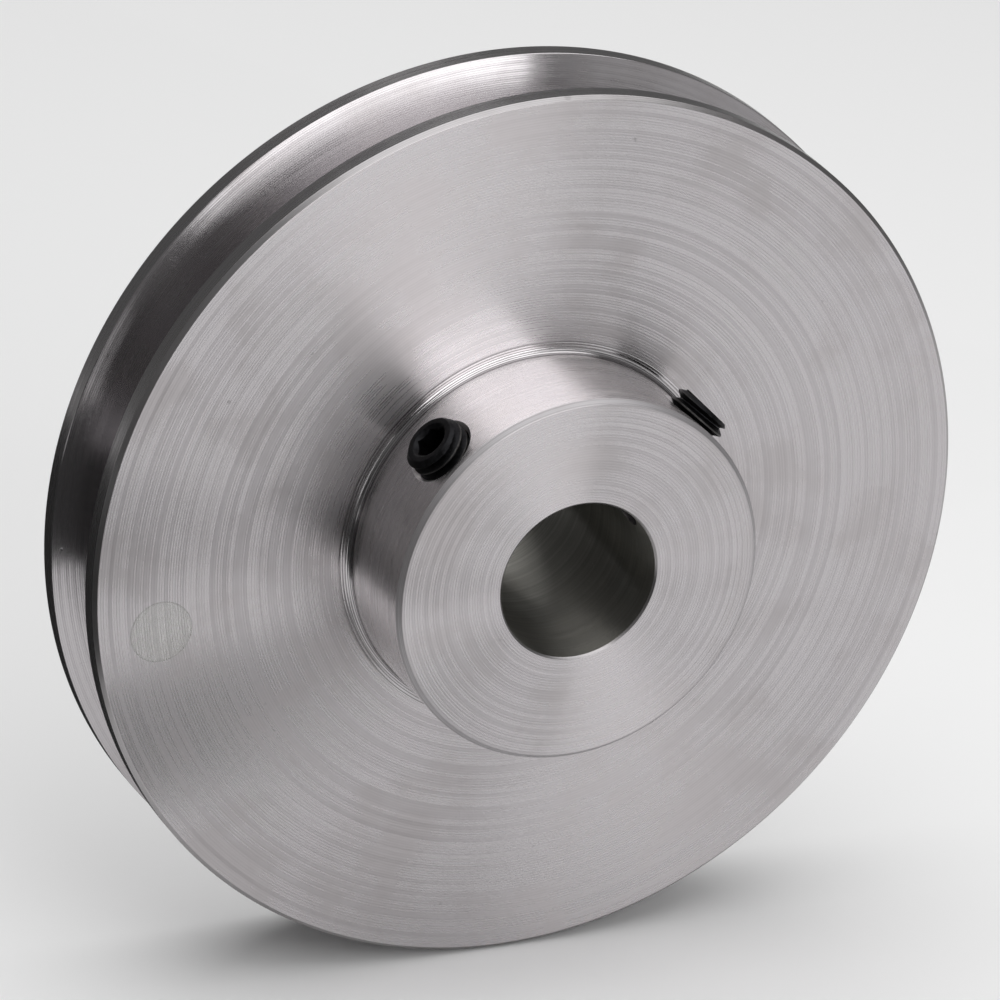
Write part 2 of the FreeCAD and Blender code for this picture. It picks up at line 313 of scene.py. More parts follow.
class Graph:
    """Short calls that build a node tree."""

    def __init__(self, tree: bpy.types.NodeTree) -> None:
        """Wrap an empty node tree, a material's or a group's."""
        self.tree = tree

    def node(self, kind: str, *values: Any, **settings: Any) -> bpy.types.Node:
        """Add a node.

        Args:
            kind: The node's type name.
            *values: Values or sockets for its first inputs, in order.
            **settings: Property names and values.

        Returns:
            The new node.
        """
        made = self.tree.nodes.new(kind)
        for name, value in settings.items():
            setattr(made, name, value)
        for socket, value in zip(made.inputs, values):
            self.feed(socket, value)
        return made

    def feed(self, socket: bpy.types.NodeSocket, value: Any) -> None:
        """Link a socket's source, or set its plain value.

        Args:
            socket: The input socket.
            value: Another socket to link, or a value to set.
        """
        if isinstance(value, bpy.types.NodeSocket):
            self.tree.links.new(value, socket)
        else:
            socket.default_value = value

    def feed_named(self, node: bpy.types.Node, inputs: dict[str, Any]) -> None:
        """Feed inputs by name, where an underscore stands for a space."""
        for name, value in inputs.items():
            self.feed(node.inputs[name.replace("_", " ")], value)

    def math(self, operation: str, *values: Value, clamp: bool = False) -> bpy.types.NodeSocket:
        """Work out one operation on numbers, held between 0 and 1 if clamp is set."""
        return self.node("ShaderNodeMath", *values, operation=operation, use_clamp=clamp).outputs[0]

    def plus(self, first: Value, second: Value, clamp: bool = False) -> bpy.types.NodeSocket:
        """Add two numbers, held between 0 and 1 if clamp is set."""
        return self.math("ADD", first, second, clamp=clamp)

    def minus(self, first: Value, second: Value, clamp: bool = False) -> bpy.types.NodeSocket:
        """Take the second number from the first, held between 0 and 1 if clamp is set."""
        return self.math("SUBTRACT", first, second, clamp=clamp)

    def times(self, first: Value, second: Value) -> bpy.types.NodeSocket:
        """Multiply two numbers."""
        return self.math("MULTIPLY", first, second)

    def vector_math(self, operation: str, *values: Any) -> bpy.types.NodeSocket:
        """Work out one operation on vectors that gives a vector."""
        return self.node("ShaderNodeVectorMath", *values, operation=operation).outputs[0]

    def length(self, vector: bpy.types.NodeSocket) -> bpy.types.NodeSocket:
        """Measure a vector."""
        return self.node("ShaderNodeVectorMath", vector, operation="LENGTH").outputs["Value"]

    def parts(self, vector: bpy.types.NodeSocket) -> bpy.types.NodeOutputs:
        """Split a vector into its three parts."""
        return self.node("ShaderNodeSeparateXYZ", vector).outputs

    def combine(self, x: Value, y: Value, z: Value) -> bpy.types.NodeSocket:
        """Join three numbers into a vector."""
        return self.node("ShaderNodeCombineXYZ", x, y, z).outputs[0]

    def noise(
        self, vector: bpy.types.NodeSocket, scale: float, detail: float, roughness: float = 0.5
    ) -> bpy.types.NodeSocket:
        """Read a noise texture, from 0 to 1 about 0.5.

        Args:
            vector: Where it's read.
            scale: Its frequency in the vector's units.
            detail: Octaves.
            roughness: Share that each finer octave keeps.

        Returns:
            The noise value's socket.
        """
        made = self.node("ShaderNodeTexNoise", noise_dimensions="3D")
        self.feed_named(made, {"Vector": vector, "Scale": scale, "Detail": detail, "Roughness": roughness})
        return made.outputs[0]

    def ramp(
        self, value: Value, low: Value, high: Value, to_low: float = 0.0, to_high: float = 1.0
    ) -> bpy.types.NodeSocket:
        """Ease a value that runs from low to high into one from to_low to to_high, held at both ends."""
        given = (value, low, high, to_low, to_high)
        return self.node("ShaderNodeMapRange", *given, interpolation_type="SMOOTHSTEP", clamp=True).outputs[0]

    def mix(self, share: Value, first: Any, second: Any) -> bpy.types.NodeSocket:
        """Mix two colours.

        Args:
            share: How much of the second colour shows.
            first: Colour or socket shown at 0.
            second: Colour or socket shown at 1.

        Returns:
            The mixed colour's socket.
        """
        made = self.node("ShaderNodeMix", share, data_type="RGBA", clamp_factor=True)
        for index, value in ((6, first), (7, second)):
            self.feed(made.inputs[index], value if isinstance(value, bpy.types.NodeSocket) else (*value, 1.0))
        return made.outputs[2]

    def group(self, tree: bpy.types.NodeTree, **inputs: Any) -> bpy.types.NodeOutputs:
        """Add a shared group, feed its inputs by name and give its outputs.

        Args:
            tree: The group's tree.
            **inputs: Values or sockets, with underscores for the spaces in the inputs' names.

        Returns:
            The group's outputs.
        """
        made = self.node("ShaderNodeGroup", node_tree=tree)
        self.feed_named(made, inputs)
        return made.outputs


class SharedEffect:
    """A node group used by several finishes. It only gives values, masks and heights."""

    NAME = "Effect"
    INPUTS: dict[str, Optional[float]] = {}
    OUTPUTS: tuple[str, ...] = ()

    def tree(self) -> bpy.types.NodeTree:
        """Give the group's tree, building it the first time.

        Returns:
            The tree.
        """
        known = bpy.data.node_groups.get(self.NAME)
        if known is not None:
            return known
        tree = bpy.data.node_groups.new(self.NAME, "ShaderNodeTree")
        for name, default in self.INPUTS.items():
            kind = "NodeSocketVector" if default is None else "NodeSocketFloat"
            socket = tree.interface.new_socket(name=name, in_out="INPUT", socket_type=kind)
            if default is not None:
                socket.default_value = default
        for name in self.OUTPUTS:
            tree.interface.new_socket(name=name, in_out="OUTPUT", socket_type="NodeSocketFloat")
        graph = Graph(tree)
        source, target = graph.node("NodeGroupInput"), graph.node("NodeGroupOutput")
        given = {name: source.outputs[name] for name in self.INPUTS}
        graph.feed_named(target, self.build(graph, given))
        return tree

    def build(self, graph: Graph, given: Sockets) -> Sockets:
        """Add the group's nodes.

        Args:
            graph: The group's graph.
            given: Its input values by name.

        Returns:
            Its output values by name.
        """
        raise NotImplementedError


class TurningMarks(SharedEffect):
    """The fine spiral that a lathe tool leaves, with the slow bands of an uneven feed."""

    NAME = "TurningMarks"
    INPUTS = {"Point": None, "Travel": 0.0, "Feed": 0.25, "Seed": 0.0}
    OUTPUTS = ("Height", "Band", "Streak")

    def build(self, graph: Graph, given: Sockets) -> Sockets:
        """Add the group's nodes.

        The phase is travel / feed + angle / whole turn, where travel is how far the tool has moved in
        millimetres. Height is the cosine of the phase, whose strength drifts slowly with travel. Band is
        noise along travel only. Streak is noise that is long round the axis and short along travel.

        Args:
            graph: The group's graph.
            given: Its input values by name.

        Returns:
            Its output values by name.
        """
        travel, seed = given["Travel"], given["Seed"]
        x, _, z = graph.parts(given["Point"])
        angle = graph.math("ARCTAN2", z, x)
        turns = graph.math("DIVIDE", angle, FULL_TURN)
        phase = graph.times(graph.plus(graph.math("DIVIDE", travel, given["Feed"]), turns), FULL_TURN)
        line = graph.combine(travel, seed, 0.0)
        depth = graph.ramp(graph.noise(line, 1.7, 3.0), 0.25, 0.7, 0.35, 1.0)
        height = graph.times(graph.math("COSINE", phase), depth)
        band = graph.noise(line, 2.6, 2.0)
        lengthwise = graph.plus(graph.times(travel, 7.0), seed)
        ring = graph.combine(graph.math("COSINE", angle), graph.math("SINE", angle), lengthwise)
        return {"Height": height, "Band": band, "Streak": graph.noise(ring, 1.6, 4.0, 0.65)}


class HandlingMarks(SharedEffect):
    """Wear from handling: small pits, short scratches, smudges and fine dust."""

    NAME = "HandlingMarks"
    INPUTS = {"Point": None, "Seed": 0.0, "Pit Share": 0.5}
    OUTPUTS = ("Pits", "Scratches", "Smudge", "Dust")

    def build(self, graph: Graph, given: Sockets) -> Sockets:
        """Add the group's nodes.

        Pits are the cores of scattered cells, kept where a cell's own random value is low. Scratches are
        thin level lines of stretched noise, broken by a second noise. Smudge and dust are slow and fine
        noise.

        Args:
            graph: The group's graph.
            given: Its input values by name.

        Returns:
            Its output values by name.
        """
        seed = given["Seed"]
        point = graph.vector_math("ADD", given["Point"], graph.combine(seed, seed, seed))
        cells = graph.node("ShaderNodeTexVoronoi", feature="F1", distance="EUCLIDEAN")
        graph.feed_named(cells, {"Vector": point, "Scale": 0.34})
        chance = graph.node("ShaderNodeSeparateColor", cells.outputs["Color"]).outputs
        core = graph.times(given["Pit Share"], graph.ramp(chance[1], 0.0, 1.0, 0.02, 0.075))
        reach = graph.plus(cells.outputs["Distance"], graph.times(graph.noise(point, 6.0, 2.0), 0.05))
        pit = graph.ramp(reach, core, graph.plus(core, 0.05), 1.0, 0.0)
        pits = graph.times(pit, graph.ramp(chance[0], 0.42, 0.5, 1.0, 0.0))
        stretched = graph.vector_math("MULTIPLY", point, (0.22, 1.0, 1.9))
        level = graph.math("ABSOLUTE", graph.minus(graph.noise(stretched, 0.55, 1.0), 0.5))
        broken = graph.ramp(graph.noise(point, 0.31, 2.0), 0.6, 0.68)
        scratches = graph.times(graph.ramp(level, 0.0008, 0.0022, 1.0, 0.0), broken)
        smudge = graph.ramp(graph.noise(point, 0.11, 3.0, 0.6), 0.42, 0.7)
        dust = graph.ramp(graph.noise(point, 9.0, 2.0), 0.66, 0.76)
        return {"Pits": pits, "Scratches": scratches, "Smudge": smudge, "Dust": dust}


class EdgeWear(SharedEffect):
    """Where an edge is rubbed bright, told from a mask that rises towards the edge."""

    NAME = "EdgeWear"
    INPUTS = {"Point": None, "Bend": 0.0}
    OUTPUTS = ("Worn",)

    def build(self, graph: Graph, given: Sockets) -> Sockets:
        """Add the group's nodes.

        Worn is the bend, from 0 to 1, raised by fine noise and eased into a mask.

        Args:
            graph: The group's graph.
            given: Its input values by name.

        Returns:
            Its output values by name.
        """
        grain = graph.minus(graph.noise(given["Point"], 3.2, 4.0, 0.65), 0.5)
        raised = graph.plus(given["Bend"], graph.times(grain, 0.5))
        return {"Worn": graph.ramp(raised, 0.16, 0.42)}


# ---------------------------------------------------------------------------------------------
# Finishes
# ---------------------------------------------------------------------------------------------


class Travel(Enum):
    """Which way the tool moved over a turned surface, and so which way its highlight stretches."""

    RADIAL = "radial"
    AXIAL = "axial"
    SLANTED = "slanted"


class Finish:
    """What every finish shares: an empty material to start with, and a bumped shader to close it."""

    name: str
    colour: Colour
    opacity: float = 1.0

    def start(self) -> tuple[bpy.types.Material, Graph, bpy.types.NodeSocket]:
        """Make an empty material that reads the point in the piece's own coordinates.

        Returns:
            The material, its graph, and the point in millimetres.
        """
        material = bpy.data.materials.new(self.name)
        material.use_nodes = True
        material.node_tree.nodes.clear()
        material.diffuse_color = (*self.colour, self.opacity)
        graph = Graph(material.node_tree)
        scaled = graph.node("ShaderNodeVectorMath", operation="SCALE")
        graph.feed(scaled.inputs[0], graph.node("ShaderNodeTexCoord").outputs["Object"])
        scaled.inputs["Scale"].default_value = 1.0 / MM
        return material, graph, scaled.outputs[0]

    def close(self, graph: Graph, height: bpy.types.NodeSocket, **inputs: Any) -> None:
        """Add the bump, the shader and the output.

        Args:
            graph: The material's graph.
            height: Relief in micrometres.
            **inputs: Values or sockets for the shader, with underscores for the spaces in their names.
        """
        bump = graph.node("ShaderNodeBump")
        graph.feed_named(bump, {"Strength": 1.0, "Distance": MM * MM, "Height": height})
        shader = graph.node("ShaderNodeBsdfPrincipled")
        graph.feed_named(shader, {**inputs, "Normal": bump.outputs[0]})
        graph.node("ShaderNodeOutputMaterial", shader.outputs[0])


@dataclass(frozen=True)
class TurnedFinish(Finish):
    """Bare aluminium alloy as the lathe left it.

    Some zones paint light and shade with lighter or darker copies of its colour.

    Attributes:
        name: The material's name.
        travel: Which way the tool moved.
        colour: Clean metal, linear.
        shade: Metal in the darker bands, linear.
        roughness: Middle roughness.
        anisotropy: How much the highlight stretches across the grooves.
        feed: Groove spacing in millimetres.
        groove: Groove height in micrometres.
        flutter: Height in micrometres of the slow bands.
        line: How much the colour follows each groove, painted shade and highlight on every groove.
        pits: Share of the cells that hold a pit.
        seed: Moves the noise.
    """

    name: str
    travel: Travel
    colour: Colour = (0.525, 0.503, 0.515)
    shade: Colour = (0.478, 0.456, 0.468)
    roughness: float = 0.285
    anisotropy: float = 0.94
    feed: float = 0.27
    groove: float = 2.8
    flutter: float = 0.05
    line: float = 0.17
    pits: float = 1.0
    seed: float = 0.0

    def build(self) -> bpy.types.Material:
        """Make the material.

        The tone is mostly the slow band with a little streak and each groove's own line, which is painted
        shade and highlight. It moves the colour from shade to clean metal and the roughness down. Smudges
        darken, dust and scratches lighten, pits darken and roughen. The tangent runs round the shaft: (z, 0,
        -x) made a unit vector.

        Returns:
            The material.
        """
        material, graph, point = self.start()
        x, y, z = graph.parts(point)
        radius = graph.length(graph.combine(x, 0.0, z))
        travels = {Travel.RADIAL: radius, Travel.AXIAL: y, Travel.SLANTED: graph.plus(radius, y)}
        marks = graph.group(
            TurningMarks().tree(), Point=point, Travel=travels[self.travel], Feed=self.feed, Seed=self.seed
        )
        wear = graph.group(HandlingMarks().tree(), Point=point, Seed=self.seed, Pit_Share=self.pits)
        pits, smudge, scratches = wear["Pits"], wear["Smudge"], wear["Scratches"]

        tone = graph.plus(graph.times(marks["Band"], 0.95), graph.times(marks["Streak"], 0.05))
        # Each groove's own line paints shade and highlight into the colour.
        tone = graph.plus(tone, graph.times(marks["Height"], self.line))
        stain = tuple(part * tint for part, tint in zip(self.shade, STAIN_TINT))
        colour = graph.mix(graph.ramp(tone, *TONE_RANGE), self.shade, self.colour)
        colour = graph.mix(graph.times(smudge, 0.30), colour, stain)
        colour = graph.mix(graph.times(wear["Dust"], 0.10), colour, DUST_ON_METAL)
        colour = graph.mix(graph.times(pits, 0.25), colour, PIT_FLOOR)
        colour = graph.mix(graph.times(scratches, 0.2), colour, FRESH_SCRATCH)

        rough = graph.ramp(tone, *TONE_RANGE, self.roughness + 0.05, self.roughness - 0.05)
        rough = graph.plus(rough, graph.times(smudge, 0.05))
        rough = graph.plus(rough, graph.times(pits, 0.15), clamp=True)

        height = graph.times(marks["Height"], self.groove)
        height = graph.plus(height, graph.times(graph.minus(marks["Streak"], 0.5), self.flutter))
        height = graph.minus(height, graph.times(pits, PIT_DEPTH))
        height = graph.minus(height, graph.times(scratches, SCRATCH_DEPTH))
        tangent = graph.vector_math("NORMALIZE", graph.combine(z, 0.0, graph.times(x, -1.0)))
        self.close(
            graph,
            height,
            Metallic=1.0,
            Anisotropic=self.anisotropy,
            Anisotropic_Rotation=QUARTER_TURN,
            Base_Color=colour,
            Roughness=rough,
            Tangent=tangent,
        )
        return material


@dataclass(frozen=True)
class BlackOxideFinish(Finish):
    """Chemically blackened steel, rubbed bright on its crests and edges.

    Attributes:
        name: The material's name.
        axis: Unit direction of the screw's axis in the frame.
        centre_y: Height of that axis along Y, in millimetres.
        crest: Radius of the crests in millimetres.
        colour: Sound coating, linear.
        bare: Steel where it is rubbed through, linear.
        roughness: Roughness of the coating.
        seed: Moves the noise.
    """

    name: str
    axis: tuple[float, float, float]
    centre_y: float
    crest: float
    colour: Colour = (0.012, 0.012, 0.013)
    bare: Colour = (0.11, 0.105, 0.10)
    roughness: float = 0.44
    seed: float = 0.0

    def build(self) -> bpy.types.Material:
        """Make the material.

        The distance from the screw's axis, |point x axis|, tells the crests, which are rubbed towards bare
        steel. Coarse grain lifts the coating's colour and roughness, and fine grain adds to its relief.

        Returns:
            The material.
        """
        material, graph, point = self.start()
        level = graph.vector_math("SUBTRACT", point, (0.0, self.centre_y, 0.0))
        radius = graph.length(graph.vector_math("CROSS_PRODUCT", level, self.axis))
        wear = graph.group(HandlingMarks().tree(), Point=point, Seed=self.seed, Pit_Share=0.5)
        bend = graph.ramp(radius, self.crest - 0.12, self.crest + 0.02, 0.0, 0.42)
        rubbed = graph.group(EdgeWear().tree(), Point=point, Bend=bend)["Worn"]
        grain = graph.noise(point, 2.6, 5.0, 0.6)
        fine = graph.noise(point, 14.0, 3.0, 0.6)

        lighter = tuple(1.7 * part for part in self.colour)
        colour = graph.mix(graph.ramp(grain, 0.35, 0.65), self.colour, lighter)
        colour = graph.mix(graph.times(rubbed, 0.4), colour, self.bare)
        colour = graph.mix(graph.times(wear["Dust"], 0.08), colour, DUST_ON_BLACK)
        rough = graph.ramp(grain, *TONE_RANGE, self.roughness - 0.06, self.roughness + 0.1)
        rough = graph.minus(rough, graph.times(rubbed, 0.08), clamp=True)
        height = graph.plus(graph.times(grain, 9.0), graph.times(fine, 2.0))
        height = graph.minus(height, graph.times(wear["Pits"], 12.0))
        self.close(graph, height, Metallic=1.0, Base_Color=colour, Roughness=rough)
        return material


@dataclass(frozen=True)
class ClearFilmFinish(Finish):
    """Thin clear plastic film with a faint orange peel, darker along its rim.

    Attributes:
        name: The material's name.
        centre: Middle of the dot as (x, z) in millimetres.
        radius: The dot's radius in millimetres.
        colour: The film's own tint, linear.
        opacity: How much of the metal the film hides.
        roughness: Roughness of the film.
    """

    name: str
    centre: tuple[float, float]
    radius: float
    colour: Colour = (0.60, 0.625, 0.57)
    opacity: float = 0.08
    roughness: float = 0.42

    def build(self) -> bpy.types.Material:
        """Make the material.

        The peel is slow noise that moves the opacity, the roughness and the relief. Near the rim, told by
        the distance from the middle, the film is darker and hides more.

        Returns:
            The material.
        """
        material, graph, point = self.start()
        middle = graph.vector_math("SUBTRACT", point, (self.centre[0], 0.0, self.centre[1]))
        radius = graph.length(graph.vector_math("MULTIPLY", middle, (1.0, 0.0, 1.0)))
        peel = graph.noise(point, 1.4, 3.0)
        specks = graph.ramp(graph.noise(point, 5.0, 3.0), 0.6, 0.7)
        rim = graph.ramp(radius, self.radius - 0.22, self.radius)
        colour = graph.mix(graph.times(specks, 0.3), self.colour, FILM_SPECK)
        # The film is darker and hides more towards its rim.
        colour = graph.mix(graph.times(rim, 0.5), colour, FILM_RIM_DARK)
        alpha = graph.plus(self.opacity - 0.02, graph.times(peel, 0.04))
        alpha = graph.plus(alpha, graph.times(rim, 0.12), clamp=True)
        rough = graph.ramp(peel, *TONE_RANGE, self.roughness - 0.06, self.roughness + 0.08)
        self.close(graph, graph.times(peel, 9.0), Base_Color=colour, Roughness=rough, Alpha=alpha)
        return material


# ---------------------------------------------------------------------------------------------
# The pulley body
# ---------------------------------------------------------------------------------------------


@dataclass(frozen=True)
class PulleySizes:
    """Sizes of the turned body, in millimetres and degrees."""

    outer_radius: float = 44.985
    front_face: float = -6.75
    back_face: float = 6.75
    rim_chamfer: float = 0.4
    groove_width: float = 9.0
    groove_depth: float = 8.5
    groove_angle: float = 38.0
    groove_floor_round: float = 0.8
    groove_edge_round: float = 0.12
    hub_radius: float = 18.75
    hub_face: float = -18.45
    hub_chamfer: float = 0.45
    root_round: float = 0.7
    ledge_radius: float = 19.9
    ledge_height: float = 0.1
    bore_radius: float = 8.0
    bore_chamfer: float = 0.2
    corner_round: float = 0.06
    guard: float = 0.12
    columns: int = 360


@dataclass(frozen=True)
class HoleSizes:
    """Sizes of the two tapped holes, and of the grids that surround their mouths."""

    angles: tuple[float, ...] = (45.0, 135.0)
    centre_y: float = -13.6
    radius: float = 3.02
    sink: float = 0.75
    thread_pitch: float = 1.0
    thread_relief: float = 0.28
    rows_per_pitch: int = 8
    hub_half_columns: int = 12
    hub_half_rows: int = 24
    hub_half_height: float = 3.98
    bore_half_columns: int = 27
    bore_half_rows: int = 9
    bore_half_height: float = 3.6
    rings: int = 9
    least_cone: float = 0.02
    least_neck: float = 0.01
    cone_rows: int = 3
    solve_steps: int = 12
    fade_rows: float = 4.0


@dataclass(frozen=True)
class HoleBand:
    """A cylinder that holds the mouths of the holes, with a square patch round each.

    Attributes:
        radius: The cylinder's radius in millimetres.
        columns: Half the columns of a patch.
        rows: Half the rows of a patch.
        half_height: Half the band's height in millimetres.
        zone: The cylinder's finish.
        centre_y: Height of the holes' axes along Y.
        whole_columns: Columns in the whole turn.
    """

    radius: float
    columns: int
    rows: int
    half_height: float
    zone: Zone
    centre_y: float
    whole_columns: int

    def stretches(self, angles: Sequence[float]) -> list[np.ndarray]:
        """Make the parts of the cylinder between the patches.

        Args:
            angles: The holes' angles in degrees.

        Returns:
            One grid of points for each part.
        """
        heights = self.centre_y + np.linspace(-self.half_height, self.half_height, 2 * self.rows + 1)
        path = np.stack([np.full_like(heights, self.radius), heights], axis=1)
        turns = whole_turn(self.whole_columns)
        middles = [round(angle * self.whole_columns / 360.0) for angle in angles]
        ends = middles[1:] + [middles[0] + self.whole_columns]
        spans = [np.arange(start + self.columns, end - self.columns + 1) for start, end in zip(middles, ends)]
        return [revolve(path, turns[span % self.whole_columns]) for span in spans]

    def edge(self) -> tuple[np.ndarray, np.ndarray]:
        """Walk once round the edge of a patch, from the middle of its far side towards greater y.

        Returns:
            Each point's arc in radians and height in millimetres from the hole's middle. The last point
            is the first.
        """
        rise = np.arange(0, self.rows)
        side = np.arange(self.columns, -self.columns, -1)
        fall = np.arange(self.rows, -self.rows, -1)
        far, top = np.full_like(rise, self.columns), np.full_like(side, self.rows)
        column = np.concatenate([far, side, np.full_like(fall, -self.columns), -side, far, far[:1]])
        row = np.concatenate([rise, top, fall, -top, rise - self.rows, rise[:1]])
        return column * FULL_TURN / self.whole_columns, row * self.half_height / self.rows

    def bearings(self) -> np.ndarray:
        """Give the angle round the hole's axis of each point of the patch's edge.

        Returns:
            Angles in radians that rise from 0 to a whole turn.
        """
        arc, up = self.edge()
        bearing = np.mod(np.arctan2(up, self.radius * np.sin(arc)), FULL_TURN)
        bearing[-1] = FULL_TURN
        return bearing

    def patch(self, bearing: np.ndarray, reach: np.ndarray, rings: int, turn: float) -> np.ndarray:
        """Fill the cylinder between a patch's square edge and a hole's mouth.

        Each ring lies on the cylinder, at an arc and a height eased from the square's to the mouth's. The
        mouth's arc is arcsin(reach cos bearing / radius).

        Args:
            bearing: Angles of the mouth's points round the hole's axis.
            reach: Their distances from the hole's axis.
            rings: Rings of faces.
            turn: The hole's angle round the shaft, in radians.

        Returns:
            The rings, shaped (rings + 1, count, 3), from the square inwards.
        """
        square_arc, square_up = self.edge()
        mouth_arc = np.arcsin(reach * np.cos(bearing) / self.radius)
        mouth_up = reach * np.sin(bearing)
        share = np.linspace(0.0, 1.0, rings + 1)[:, None] ** RING_EASE
        arc = turn + square_arc + (mouth_arc - square_arc) * share
        up = self.centre_y + square_up + (mouth_up - square_up) * share
        return np.stack([self.radius * np.cos(arc), up, self.radius * np.sin(arc)], axis=-1)


class PulleyBody:
    """The disc, its belt groove, its hub, the shaft bore and the two tapped holes."""

    NODE = "pulley_body"
    BODY = "pulley"
    SLOT = "turned_aluminium"
    CREASE = 32.0

    def __init__(self, sizes: PulleySizes, holes: HoleSizes) -> None:
        """Keep the sizes.

        Args:
            sizes: The turned outline's sizes.
            holes: The tapped holes' sizes.
        """
        self.sizes = sizes
        self.holes = holes
        s, h = sizes, holes
        where = (h.centre_y, s.columns)
        hub_patch = (h.hub_half_columns, h.hub_half_rows, h.hub_half_height)
        bore_patch = (h.bore_half_columns, h.bore_half_rows, h.bore_half_height)
        self.hub_band = HoleBand(s.hub_radius, *hub_patch, Zone.HUB_SIDE, *where)
        self.bore_band = HoleBand(s.bore_radius, *bore_patch, Zone.BORE, *where)

    def build(self) -> bpy.types.Object:
        """Make the mesh, dress it and tie it to its frame body.

        Returns:
            The piece.
        """
        skin = Skin()
        turns = whole_turn(self.sizes.columns)
        for corners in self._outline():
            path, zones = trace_outline(corners, self.sizes.guard)
            skin.add(revolve(path, turns), zones)
        for band in (self.hub_band, self.bore_band):
            for stretch in band.stretches(self.holes.angles):
                skin.add(stretch, band.zone.value)
        for angle in self.holes.angles:
            self._add_hole(skin, math.radians(angle))
        piece = skin.to_object("pulley_turned_body", self.CREASE)
        for finish in self.finishes():
            piece.data.materials.append(finish.build())
        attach(piece, self.BODY)
        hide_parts(self.NODE)
        report(piece)
        return piece

    def finishes(self) -> list[TurnedFinish]:
        """Give one finish for each zone, in the zones' order.

        Several zones are lighter or darker copies of one aluminium, which paint light and shade.

        Returns:
            The finishes.
        """
        radial, axial, slanted = Travel.RADIAL, Travel.AXIAL, Travel.SLANTED
        return [
            TurnedFinish("AluminiumDiscFace", radial, seed=1.0),
            TurnedFinish("AluminiumHubFace", radial, seed=2.0),
            TurnedFinish("AluminiumBackFace", radial, feed=0.22, seed=3.0),
            # The hub side is a much lighter copy of the aluminium: painted light.
            TurnedFinish(
                "AluminiumHubSidePaintedLight", axial, (0.88, 0.855, 0.86), (0.82, 0.79, 0.80),
                roughness=0.24, anisotropy=0.8, feed=0.18, groove=0.6, seed=4.0,
            ),
            # The root ledge is a dark copy of the aluminium with strong light and dark rings: painted shade
            # and painted reflections.
            TurnedFinish(
                "AluminiumRootLedgePaintedShadeRings", slanted, (0.56, 0.54, 0.55), (0.26, 0.25, 0.255),
                roughness=0.17, anisotropy=0.6, groove=9.0, line=0.5, seed=11.0,
            ),
            # The rim lands are a darker copy of the aluminium: painted shade.
            TurnedFinish(
                "AluminiumRimLandPaintedShade", axial, (0.36, 0.348, 0.352), (0.30, 0.29, 0.295),
                roughness=0.24, anisotropy=0.5, feed=0.16, groove=0.6, seed=5.0,
            ),
            # The chamfers and broken edges are a darker copy of the aluminium: painted shade.
            TurnedFinish(
                "AluminiumBrokenEdgePaintedShade", slanted, (0.38, 0.365, 0.37), (0.31, 0.30, 0.305),
                roughness=0.34, anisotropy=0.3, groove=0.6, pits=1.6, seed=6.0,
            ),
            TurnedFinish("AluminiumGrooveFlank", radial, roughness=0.20, feed=0.20, groove=1.0, seed=7.0),
            TurnedFinish("AluminiumGrooveFloor", axial, roughness=0.36, feed=0.14, seed=8.0),
            # The bore is darker and warmer than the rest of the aluminium.
            TurnedFinish(
                "AluminiumBore", axial, (0.25, 0.245, 0.225), (0.19, 0.185, 0.17),
                roughness=0.40, feed=0.12, groove=0.8, seed=9.0,
            ),
            TurnedFinish("AluminiumTappedWall", axial, roughness=0.40, anisotropy=0.1, groove=0.5, seed=10.0),
            # The hub's chamfer is a darker copy of the aluminium, less dark than the other chamfers: painted
            # shade.
            TurnedFinish(
                "AluminiumHubEdgePaintedShade", slanted, (0.46, 0.445, 0.455), (0.38, 0.365, 0.375),
                roughness=0.52, anisotropy=0.0, groove=0.5, pits=1.4, seed=12.0,
            ),
            # The hole mouths are a near-white copy of the aluminium: a painted highlight.
            TurnedFinish(
                "AluminiumHoleMouthPaintedHighlight", axial, (0.90, 0.88, 0.88), (0.82, 0.80, 0.80),
                roughness=0.38, anisotropy=0.0, groove=0.4, seed=13.0,
            ),
        ]

    def _outline(self) -> tuple[list[Corner], list[Corner]]:
        """List the corners of the two outlines that join the hub's hole band to the bore's.

        Returns:
            The long way round, by the rim and the back face, and the short way, by the hub face.
        """
        s, h = self.sizes, self.holes
        c, edge = s.corner_round, s.groove_edge_round
        top = s.groove_width / 2.0
        bottom = top - s.groove_depth * math.tan(math.radians(s.groove_angle / 2.0))
        floor = s.outer_radius - s.groove_depth
        ledge = s.front_face - s.ledge_height
        inside = s.outer_radius - s.rim_chamfer
        mouth = s.bore_radius + s.bore_chamfer
        long_way = [
            Corner(s.hub_radius, h.centre_y + h.hub_half_height, Zone.HUB_SIDE),
            # The root's fillet takes the ledge finish, with its painted shade and painted reflection rings.
            Corner(s.hub_radius, ledge, Zone.LEDGE, s.root_round, 12, Zone.LEDGE),
            Corner(s.ledge_radius, ledge, Zone.BROKEN_EDGE),
            Corner(s.ledge_radius, s.front_face, Zone.FACE),
            Corner(inside, s.front_face, Zone.BROKEN_EDGE, c),
            Corner(s.outer_radius, s.front_face + s.rim_chamfer, Zone.RIM_LAND, c),
            Corner(s.outer_radius, -top, Zone.GROOVE_FLANK, edge, 6),
            Corner(floor, -bottom, Zone.GROOVE_FLOOR, s.groove_floor_round, 10),
            Corner(floor, bottom, Zone.GROOVE_FLANK, s.groove_floor_round, 10),
            Corner(s.outer_radius, top, Zone.RIM_LAND, edge, 6),
            Corner(s.outer_radius, s.back_face - s.rim_chamfer, Zone.BROKEN_EDGE, c),
            Corner(inside, s.back_face, Zone.BACK_FACE, c),
            Corner(mouth, s.back_face, Zone.BROKEN_EDGE, c),
            Corner(s.bore_radius, s.back_face - s.bore_chamfer, Zone.BORE, c),
            Corner(s.bore_radius, h.centre_y + h.bore_half_height, Zone.BORE),
        ]
